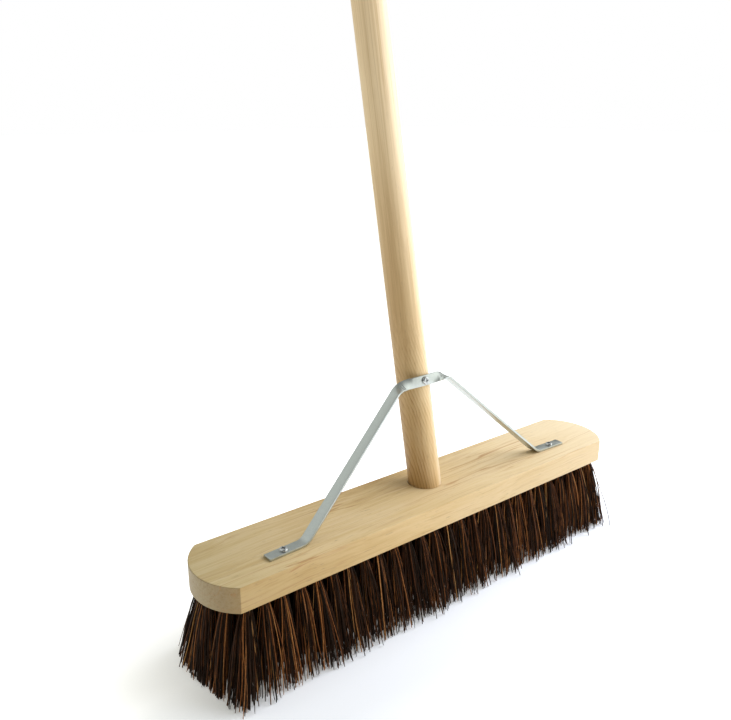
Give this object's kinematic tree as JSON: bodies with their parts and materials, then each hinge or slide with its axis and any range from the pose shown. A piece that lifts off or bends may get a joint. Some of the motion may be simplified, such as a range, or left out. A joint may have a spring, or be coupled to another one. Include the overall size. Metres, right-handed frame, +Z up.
{
  "type": "push broom",
  "caption": "Push broom: a long wooden block of stiff dark fibre tufts, a leaning round wooden handle and a bent steel strip that braces the two.",
  "frame": {"origin": "on the floor under the middle of the stock, where the fibre tips rest", "axes": "+Z up from the floor, +X along the stock, +Y the way the handle leans back"},
  "size_m": [0.4723, 0.3092, 1.2736],
  "materials": {
    "stock_wood": "matte",
    "handle_wood": "matte",
    "zinc_strip": "satin",
    "screw_steel": "satin",
    "bassine_fibre": "matte",
    "anchor_wire": "satin"
  },
  "bodies": {
    "root": {"stock": "stock_wood", "handle": "handle_wood", "stay": "zinc_strip", "left_stay_screw": "screw_steel", "right_stay_screw": "screw_steel", "handle_screw": "screw_steel", "front_outer_tufts": "bassine_fibre", "front_outer_anchors": "anchor_wire", "front_inner_tufts": "bassine_fibre", "front_inner_anchors": "anchor_wire", "centre_tufts": "bassine_fibre", "centre_anchors": "anchor_wire", "back_inner_tufts": "bassine_fibre", "back_inner_anchors": "anchor_wire", "back_outer_tufts": "bassine_fibre", "back_outer_anchors": "anchor_wire", "left_end_tufts": "bassine_fibre", "left_end_anchors": "anchor_wire", "right_end_tufts": "bassine_fibre", "right_end_anchors": "anchor_wire"}
  },
  "joints": []
}
